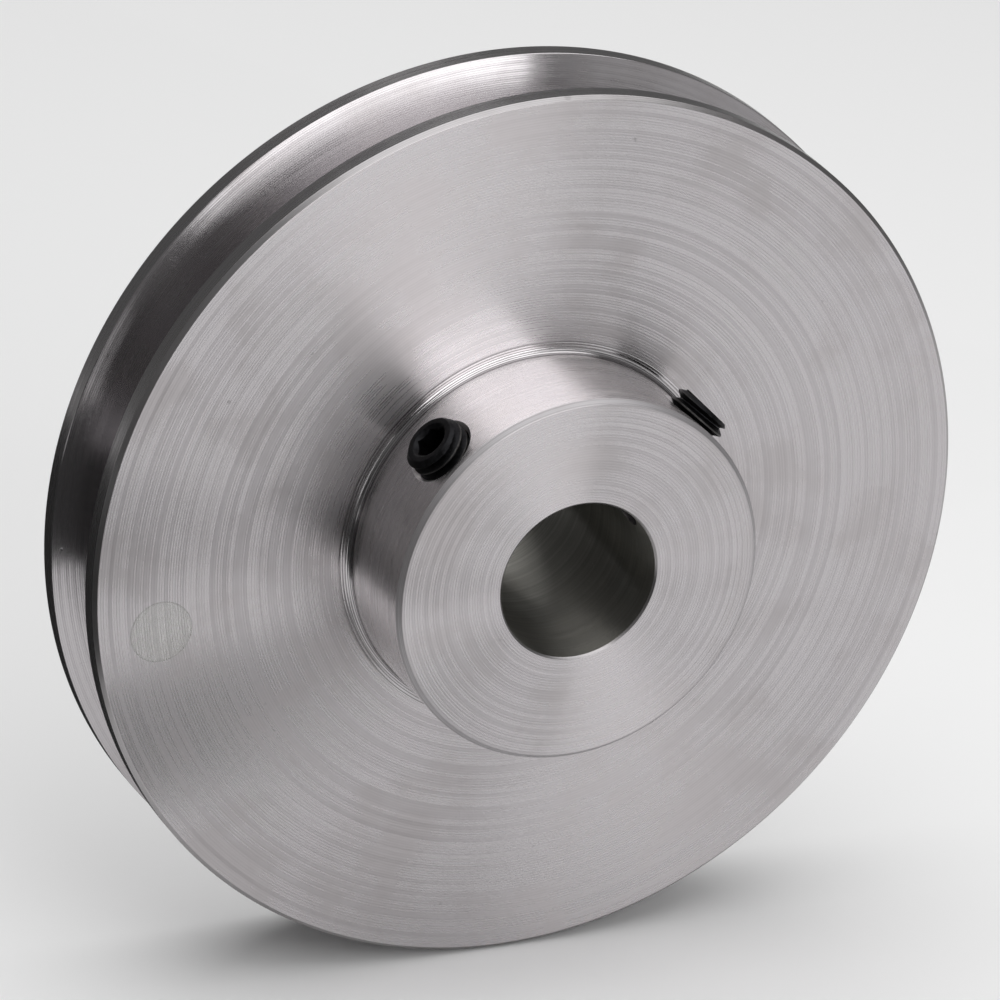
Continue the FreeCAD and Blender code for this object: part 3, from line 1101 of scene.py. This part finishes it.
        short_way = [
            Corner(s.bore_radius, h.centre_y - h.bore_half_height, Zone.BORE),
            Corner(s.bore_radius, s.hub_face + s.bore_chamfer, Zone.BROKEN_EDGE, c),
            Corner(mouth, s.hub_face, Zone.HUB_FACE, c),
            Corner(s.hub_radius - s.hub_chamfer, s.hub_face, Zone.HUB_EDGE, c),
            Corner(s.hub_radius, s.hub_face + s.hub_chamfer, Zone.HUB_SIDE, c),
            Corner(s.hub_radius, h.centre_y - h.hub_half_height, Zone.HUB_SIDE),
        ]
        return long_way, short_way

    def _add_hole(self, skin: Skin, turn: float) -> None:
        """Add one tapped hole: its two mouths, the sunk cone and the threaded wall.

        The cone's reach r solves r = hole radius + (height on the hub - cone foot), where the height on
        the hub is sqrt(hub radius^2 - (r cos bearing)^2). The wall's reach is the hole's radius plus a
        triangle wave of distance / pitch + bearing / whole turn, faded out at both ends.

        Args:
            skin: The surface it is added to.
            turn: The hole's angle round the shaft, in radians.
        """
        s, h = self.sizes, self.holes
        outer, inner = self.hub_band.bearings(), self.bore_band.bearings()
        foot = s.hub_radius - h.sink
        reach = np.full_like(outer, h.radius + h.sink)
        for _ in range(h.solve_steps):
            surface = np.sqrt(s.hub_radius**2 - (reach * np.cos(outer)) ** 2)
            reach = np.maximum(h.radius + surface - foot, h.radius + h.least_cone)
        surface = np.sqrt(s.hub_radius**2 - (reach * np.cos(outer)) ** 2)
        outside = self.hub_band.patch(outer, reach, h.rings, turn)
        skin.add(outside, Zone.HUB_SIDE.value)
        neck = np.minimum(foot, surface - h.least_neck)
        share = np.linspace(0.0, 1.0, h.cone_rows + 1)[:, None]
        depth = surface + (neck - surface) * share
        cone = round_radial_axis(outer, reach + (h.radius - reach) * share, depth, turn, h.centre_y)
        cone[0] = outside[-1]
        # The sunk cone takes the hole-mouth finish, whose near-white colour is a painted highlight.
        skin.add(cone, Zone.HOLE_MOUTH.value)

        breakout = np.sqrt(s.bore_radius**2 - (h.radius * np.cos(inner)) ** 2)
        inside = self.bore_band.patch(inner, np.full_like(inner, h.radius), h.rings, turn)
        skin.add(inside, Zone.BORE.value)
        rows = int((foot - s.bore_radius) / h.thread_pitch * h.rows_per_pitch)
        share = np.linspace(0.0, 1.0, rows + 1)[:, None]
        bearing = outer + (inner - outer) * share
        distance = neck + (breakout - neck) * share
        wave = np.mod(distance / h.thread_pitch + bearing / FULL_TURN, 1.0)
        ridge = 1.0 - np.abs(2.0 * wave - 1.0)
        fade = np.clip(np.minimum(share, 1.0 - share) * rows / h.fade_rows, 0.0, 1.0)
        reach = h.radius + h.thread_relief * ridge * fade
        wall = round_radial_axis(bearing, reach, distance, turn, h.centre_y)
        wall[0], wall[-1] = cone[-1], inside[-1]
        skin.add(wall, Zone.THREAD_WALL.value)


# ---------------------------------------------------------------------------------------------
# The set screws
# ---------------------------------------------------------------------------------------------


class Side(Enum):
    """Which of the two set screws, by where it stands as seen from the hub side."""

    LEFT = "left"
    RIGHT = "right"


@dataclass(frozen=True)
class ScrewSizes:
    """Sizes of one cup-point socket set screw, in millimetres, and where its tip lies."""

    radius: float = 3.0
    length: float = 10.0
    tip_distance: float = 10.4
    centre_y: float = -13.6
    end_chamfer: float = 0.5
    pitch: float = 1.0
    flank_angle: float = 30.0
    end_gap: float = 0.02
    depth: float = 0.6134
    crest: float = 0.125
    crest_round: float = 0.03
    socket_width: float = 3.0
    socket_depth: float = 3.5
    socket_break: float = 0.2
    drill_radius: float = 1.48
    drill_half_angle: float = 59.0
    cup_radius: float = 1.25
    cup_lip: float = 0.25
    cup_half_angle: float = 60.0
    edge_round: float = 0.07
    columns: int = 144
    rows_per_pitch: int = 24


class SetScrew:
    """One set screw, as a single closed surface of rings round its own axis."""

    SLOT = "black_oxide_steel"
    CREASE = 34.0
    SEEDS = {Side.LEFT: 3.0, Side.RIGHT: 7.0}

    def __init__(self, side: Side, angle: float, sizes: ScrewSizes) -> None:
        """Keep the screw's side, place and sizes.

        Args:
            side: Which screw it is.
            angle: Angle of its axis round the shaft, in degrees.
            sizes: Its sizes.
        """
        self.side = side
        self.turn = math.radians(angle)
        self.sizes = sizes

    def build(self) -> bpy.types.Object:
        """Make the mesh, dress it and tie it to its frame body.

        Returns:
            The piece.
        """
        s = self.sizes
        reach, height = self._rings(np.linspace(0.0, FULL_TURN, s.columns + 1))
        reach[:, -1], height[:, -1] = reach[:, 0], height[:, 0]
        skin = Skin()
        distance = s.tip_distance + height
        skin.add(round_radial_axis(whole_turn(s.columns), reach, distance, self.turn, s.centre_y), 0)
        piece = skin.to_object(f"set_screw_{self.side.value}_blackened", self.CREASE)
        piece.data.materials.append(self._finish().build())
        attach(piece, f"{self.side.value}_screw")
        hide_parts(f"set_screw_{self.side.value}")
        report(piece)
        return piece

    def _finish(self) -> BlackOxideFinish:
        """Give the screw's finish, which needs to know where its axis is.

        Returns:
            The finish.
        """
        s = self.sizes
        axis = (math.cos(self.turn), 0.0, math.sin(self.turn))
        name = f"BlackOxide{self.side.value.capitalize()}"
        return BlackOxideFinish(name, axis, s.centre_y, s.radius, seed=self.SEEDS[self.side])

    def _shank(self, bearing: np.ndarray) -> tuple[np.ndarray, np.ndarray]:
        """Work out the threaded shank, from just above the tip to just below the end.

        The thread's reach is the crest radius less a flank that falls at 30 degrees from the crest flat to
        the root, as a function of the fraction of height / pitch + bearing / whole turn. The tip's cone
        and the end's chamfer hold it down.

        Args:
            bearing: Angles round the screw's axis.

        Returns:
            Reach and height, both shaped (rings, angles).
        """
        s = self.sizes
        rows = int(round(s.length / s.pitch * s.rows_per_pitch))
        height = np.linspace(s.end_gap, s.length - s.end_gap, rows)[:, None]
        wave = np.mod(height / s.pitch + bearing / FULL_TURN, 1.0)
        from_crest = np.maximum(np.abs(wave - 0.5) * s.pitch - s.crest / 2.0, 0.0)
        softened = np.sqrt(from_crest**2 + s.crest_round**2) - s.crest_round
        thread = s.radius - np.minimum(softened / math.tan(math.radians(s.flank_angle)), s.depth)
        tip_cone = s.cup_radius + s.cup_lip + height
        end_cone = s.radius - s.end_chamfer + (s.length - height)
        return np.minimum(thread, np.minimum(tip_cone, end_cone)), height * np.ones_like(bearing)

    def _rings(self, bearing: np.ndarray) -> tuple[np.ndarray, np.ndarray]:
        """Work out the reach and height of every ring, from the cup to the socket's bottom.

        The socket's reach is half its width divided by the cosine of the angle to its nearest flat.

        Args:
            bearing: Angles round the screw's axis.

        Returns:
            Reach and height, both shaped (rings, angles).
        """
        s = self.sizes
        ones = np.ones_like(bearing)
        lip = s.cup_radius + s.cup_lip
        cup = s.cup_radius / math.tan(math.radians(s.cup_half_angle))
        hollow = np.array([0.0, 0.3, 0.6, 0.9])
        tip_reach = np.concatenate([hollow, [s.cup_radius - 0.03, s.cup_radius + 0.02, lip - 0.03]])
        tip_height = np.concatenate([cup * (1.0 - hollow / s.cup_radius), [0.03, 0.0, 0.0]])

        hexagon = (s.socket_width / 2.0) / np.cos(np.mod(bearing, FULL_TURN / 6.0) - FULL_TURN / 12.0)
        mouth = s.socket_width / math.sqrt(3.0) + s.socket_break
        rim = s.radius - s.end_chamfer
        face_reach = np.array([rim - 0.02, rim - s.edge_round, mouth + 0.05, mouth + 0.01])
        face_height = np.array([s.length - 0.006, s.length, s.length, s.length - 0.004])
        bevel_share = np.linspace(0.0, 1.0, 5)[:, None]
        bevel_reach = (mouth - 0.01) + (hexagon - mouth + 0.01) * bevel_share
        bevel_height = s.length - (mouth - bevel_reach)
        wall_share = np.array([0.1, 0.5, 0.97])[:, None]
        floor = s.length - s.socket_depth
        wall_height = bevel_height[-1:] + (floor - bevel_height[-1:]) * wall_share
        drill_depth = s.drill_radius / math.tan(math.radians(s.drill_half_angle))
        cone_share = np.linspace(0.0, 1.0, 6)[:, None]

        shank_reach, shank_height = self._shank(bearing)
        profile = [
            (tip_reach[:, None] * ones, tip_height[:, None] * ones),
            (shank_reach, shank_height),
            (face_reach[:, None] * ones, face_height[:, None] * ones),
            (bevel_reach, bevel_height),
            (hexagon * np.ones_like(wall_share), wall_height),
            (hexagon[None, :], floor * ones[None, :]),
            (s.drill_radius * (1.0 - cone_share) * ones, floor - drill_depth * cone_share * ones),
        ]
        return np.concatenate([part[0] for part in profile]), np.concatenate([part[1] for part in profile])


# ---------------------------------------------------------------------------------------------
# The inspection dot
# ---------------------------------------------------------------------------------------------


@dataclass(frozen=True)
class DotSizes:
    """Sizes of the clear dot, in millimetres and degrees."""

    radius: float = 3.15
    thickness: float = 0.06
    circle_radius: float = 38.3
    angle: float = 188.6
    seat: float = -6.75
    edge_round: float = 0.03
    lift: float = 0.004
    adhesive: float = 0.003
    columns: int = 128
    rings: int = 13
    edge_rings: int = 4


class InspectionDot:
    """The blank adhesive dot near the rim, with a rolled edge and a faintly uneven film."""

    NODE = "inspection_dot"
    BODY = "pulley"
    SLOT = "clear_film"
    CREASE = 50.0

    def __init__(self, sizes: DotSizes) -> None:
        """Keep the dot's sizes."""
        self.sizes = sizes

    def build(self) -> bpy.types.Object:
        """Make the mesh, dress it and tie it to its frame body.

        Returns:
            The piece.
        """
        skin = Skin()
        skin.add(self._grid(), 0)
        piece = skin.to_object("inspection_dot_film", self.CREASE)
        piece.data.materials.append(ClearFilmFinish("ClearFilm", self._centre(), self.sizes.radius).build())
        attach(piece, self.BODY)
        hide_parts(self.NODE)
        report(piece)
        return piece

    def _centre(self) -> tuple[float, float]:
        """Give the x and z of the dot's middle on the face, in millimetres."""
        turn = math.radians(self.sizes.angle)
        return self.sizes.circle_radius * math.cos(turn), self.sizes.circle_radius * math.sin(turn)

    def _grid(self) -> np.ndarray:
        """Work out the film: a top that sags by a few micrometres, a rolled edge and a flat underside.

        The top's depth below the film's thickness is the lift times the square of sin(3 angle + 5 reach),
        scaled by the share of the radius, so that the middle stays level.

        Returns:
            Rings from the middle of the top to the middle of the underside.
        """
        s = self.sizes
        turns = whole_turn(s.columns)
        rolled = np.linspace(0.0, math.pi / 2.0, s.edge_rings + 1)
        level = np.linspace(0.0, s.radius - s.edge_round, s.rings + 1)[:-1]
        top_reach = np.concatenate([level, s.radius - s.edge_round * (1.0 - np.sin(rolled))])
        top_drop = np.concatenate([np.zeros(s.rings), s.edge_round * (1.0 - np.cos(rolled))])
        under_reach = np.array([s.radius, s.radius * 0.6, 0.0])
        reach = np.concatenate([top_reach, under_reach])[:, None] * np.ones_like(turns)
        share = reach[: len(top_reach)] / s.radius
        drop = top_drop[:, None] + s.lift * share * np.sin(3.0 * turns + 5.0 * share) ** 2
        under = np.full((len(under_reach), len(turns)), s.adhesive)
        stand = np.concatenate([s.thickness - drop, under])
        x, z = self._centre()
        return np.stack([x + reach * np.cos(turns), s.seat - stand, z + reach * np.sin(turns)], axis=-1)


# ---------------------------------------------------------------------------------------------
# The set: floor, cards, lights and camera
# ---------------------------------------------------------------------------------------------


def direction(azimuth: float, elevation: float) -> Vector:
    """Give the unit direction that lies azimuth degrees from -Y towards +X, at an elevation in degrees."""
    turn, rise = math.radians(azimuth), math.radians(elevation)
    return Vector((math.sin(turn) * math.cos(rise), -math.cos(turn) * math.cos(rise), math.sin(rise)))


def matt_card(
    name: str, corners: Sequence[Sequence[float]], paper: str, colour: Colour, roughness: float
) -> bpy.types.Object:
    """Make a four-cornered card with a plain matt finish.

    Args:
        name: The card's name.
        corners: Its corners in metres.
        paper: The material's name.
        colour: Its colour, linear.
        roughness: Its roughness.

    Returns:
        The card.
    """
    mesh = bpy.data.meshes.new(name)
    mesh.from_pydata(corners, [], [(0, 1, 2, 3)])
    card = bpy.data.objects.new(name, mesh)
    bpy.context.scene.collection.objects.link(card)
    material = bpy.data.materials.new(paper)
    material.use_nodes = True
    shader = material.node_tree.nodes["Principled BSDF"]
    shader.inputs["Base Color"].default_value = (*colour, 1.0)
    shader.inputs["Roughness"].default_value = roughness
    mesh.materials.append(material)
    return card


@dataclass(frozen=True)
class SoftLight:
    """One rectangular area light.

    Attributes:
        name: The light's name.
        azimuth: Direction from the pulley in degrees, from -Y towards +X.
        elevation: Degrees above the horizon.
        distance: Distance in metres.
        width: Width in metres.
        height: Height in metres.
        power: Power in watts.
    """

    name: str
    azimuth: float
    elevation: float
    distance: float
    width: float
    height: float
    power: float

    def build(self) -> bpy.types.Object:
        """Add the light, aimed at the origin.

        Returns:
            The light.
        """
        lamp = bpy.data.lights.new(self.name, "AREA")
        lamp.shape = "RECTANGLE"
        lamp.size, lamp.size_y = self.width, self.height
        lamp.energy = self.power
        made = bpy.data.objects.new(self.name, lamp)
        away = direction(self.azimuth, self.elevation)
        made.location = away * self.distance
        made.rotation_euler = away.to_track_quat("Z", "Y").to_euler()
        bpy.context.scene.collection.objects.link(made)
        return made


@dataclass(frozen=True)
class BlackFlag:
    """A dark card that only shows in reflections, as a studio keeps glare off metal.

    Attributes:
        name: The card's name.
        azimuth: Direction of its middle in degrees, from -Y towards +X.
        distance: Distance of its middle from the shaft axis, in metres.
        depth: Size along that direction, in metres.
        width: Size across that direction, in metres.
        level: Height in metres.
        upright: Whether it stands on its level, as high as its depth, in place of lying flat.
        shade: Its colour, linear.
    """

    name: str
    azimuth: float
    distance: float
    depth: float
    width: float
    level: float
    upright: bool = False
    shade: float = 0.02

    def build(self) -> bpy.types.Object:
        """Add the card, hidden from the camera, from shadows and from diffuse light.

        Returns:
            The card.
        """
        away = direction(self.azimuth, 0.0)
        across = Vector((-away.y, away.x, 0.0)) * (self.width / 2.0)
        middle = away * self.distance + Vector((0.0, 0.0, self.level))
        near, far = middle - away * (self.depth / 2.0), middle + away * (self.depth / 2.0)
        if self.upright:
            near, far = middle, middle + Vector((0.0, 0.0, self.depth))
        corners = (near - across, near + across, far + across, far - across)
        card = matt_card(self.name, corners, "FlagCloth", (self.shade,) * 3, 1.0)
        card.visible_camera = card.visible_shadow = card.visible_diffuse = False
        return card


@dataclass(frozen=True)
class Studio:
    """Pale floor, even surroundings, soft lights and dark cards.

    Attributes:
        floor_level: Height of the floor in metres.
        floor_half: Half the floor's size in metres.
        floor_colour: The floor's colour, linear.
        floor_roughness: The floor's roughness.
        surround: Brightness of the surroundings.
        lights: The lights.
        flags: The dark cards.
    """

    floor_level: float = -0.0452
    floor_half: float = 3.0
    floor_colour: Colour = (0.86, 0.86, 0.86)
    floor_roughness: float = 0.9
    surround: float = 0.16
    lights: tuple[SoftLight, ...] = (
        SoftLight("key", 6.5, 25.0, 0.80, 0.54, 0.52, 2.15),
        SoftLight("side", 47.0, 10.0, 0.80, 0.46, 0.52, 0.25),
        SoftLight("low_front", 5.0, 1.0, 0.75, 0.34, 0.16, 0.13),
        SoftLight("overhead", 120.0, 88.0, 0.60, 1.00, 0.90, 5.2),
    )
    flags: tuple[BlackFlag, ...] = (
        BlackFlag("near_flag", -16.0, 0.062, 0.026, 0.05, -0.0449, shade=0.2),
        BlackFlag("front_flag", -38.0, 0.23, 0.26, 0.15, -0.0448),
        BlackFlag("standing_flag", -42.0, 0.37, 0.10, 0.30, -0.0443, upright=True),
        BlackFlag("left_flag", -84.0, 0.23, 0.30, 0.36, -0.0447),
        BlackFlag("rear_flag", -155.0, 0.205, 0.35, 0.30, -0.0446),
    )

    def build(self) -> None:
        """Add the floor, the surroundings, the lights and the cards."""
        self._floor()
        world = bpy.data.worlds.new("surroundings")
        world.use_nodes = True
        background = world.node_tree.nodes["Background"]
        background.inputs["Color"].default_value = (1.0, 1.0, 1.0, 1.0)
        background.inputs["Strength"].default_value = self.surround
        bpy.context.scene.world = world
        for item in (*self.lights, *self.flags):
            item.build()
        LOG.info("studio: %d lights, %d cards", len(self.lights), len(self.flags))

    def _floor(self) -> None:
        """Add the floor as one square of matt paper."""
        half, level = self.floor_half, self.floor_level
        corners = [(-half, -half, level), (half, -half, level), (half, half, level), (-half, half, level)]
        floor = matt_card("floor", corners, "FloorPaper", self.floor_colour, self.floor_roughness)


@dataclass(frozen=True)
class CameraView:
    """Where the camera stands and how it is turned.

    Attributes:
        azimuth: Degrees from -Y towards +X.
        elevation: Degrees above the horizon.
        roll: Degrees that the camera is turned about its line of sight.
        distance: Metres from what it looks at.
        target: The point it looks at, in metres.
        lens: Focal length in millimetres.
        sensor: Sensor width in millimetres.
    """

    azimuth: float = -25.15
    elevation: float = 24.40
    roll: float = 3.94
    distance: float = 0.8719
    target: tuple[float, float, float] = (-0.00016, 0.00012, 0.00032)
    lens: float = 324.0
    sensor: float = 36.0

    def build(self) -> None:
        """Add the camera and make it the scene's."""
        lens = bpy.data.cameras.new("camera")
        lens.lens, lens.sensor_width = self.lens, self.sensor
        lens.clip_start, lens.clip_end = 0.01, 20.0
        camera = bpy.data.objects.new("camera", lens)
        away = direction(self.azimuth, self.elevation)
        level = Vector((0.0, 0.0, 1.0)).cross(away).normalized()
        rise = away.cross(level)
        turn = math.radians(self.roll)
        right = level * math.cos(turn) + rise * math.sin(turn)
        up = rise * math.cos(turn) - level * math.sin(turn)
        basis = Matrix((right, up, away)).transposed().to_4x4()
        camera.matrix_world = Matrix.Translation(Vector(self.target) + away * self.distance) @ basis
        bpy.context.scene.collection.objects.link(camera)
        bpy.context.scene.camera = camera
        LOG.info("camera: lens %.0f mm at %.3f m", self.lens, self.distance)


# ---------------------------------------------------------------------------------------------
# Putting it together
# ---------------------------------------------------------------------------------------------


@dataclass
class PulleyAssembly:
    """The whole visual model.

    Attributes:
        pulley: Sizes of the turned body.
        holes: Sizes of the tapped holes.
        screw: Sizes of both screws.
        dot: Sizes of the dot.
    """

    pulley: PulleySizes = field(default_factory=PulleySizes)
    holes: HoleSizes = field(default_factory=HoleSizes)
    screw: ScrewSizes = field(default_factory=ScrewSizes)
    dot: DotSizes = field(default_factory=DotSizes)

    def build(self) -> list[bpy.types.Object]:
        """Build every piece.

        Returns:
            The pieces.
        """
        right, left = self.holes.angles
        return [
            PulleyBody(self.pulley, self.holes).build(),
            SetScrew(Side.LEFT, left, self.screw).build(),
            SetScrew(Side.RIGHT, right, self.screw).build(),
            InspectionDot(self.dot).build(),
        ]


def main() -> None:
    """Load the frame, build the looks over it, and light and frame them."""
    logging.basicConfig(level=logging.INFO, format="%(name)s %(message)s")
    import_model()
    PulleyAssembly().build()
    Studio().build()
    CameraView().build()
    bpy.context.scene.view_settings.view_transform = "Standard"


if __name__ == "__main__":
    main()
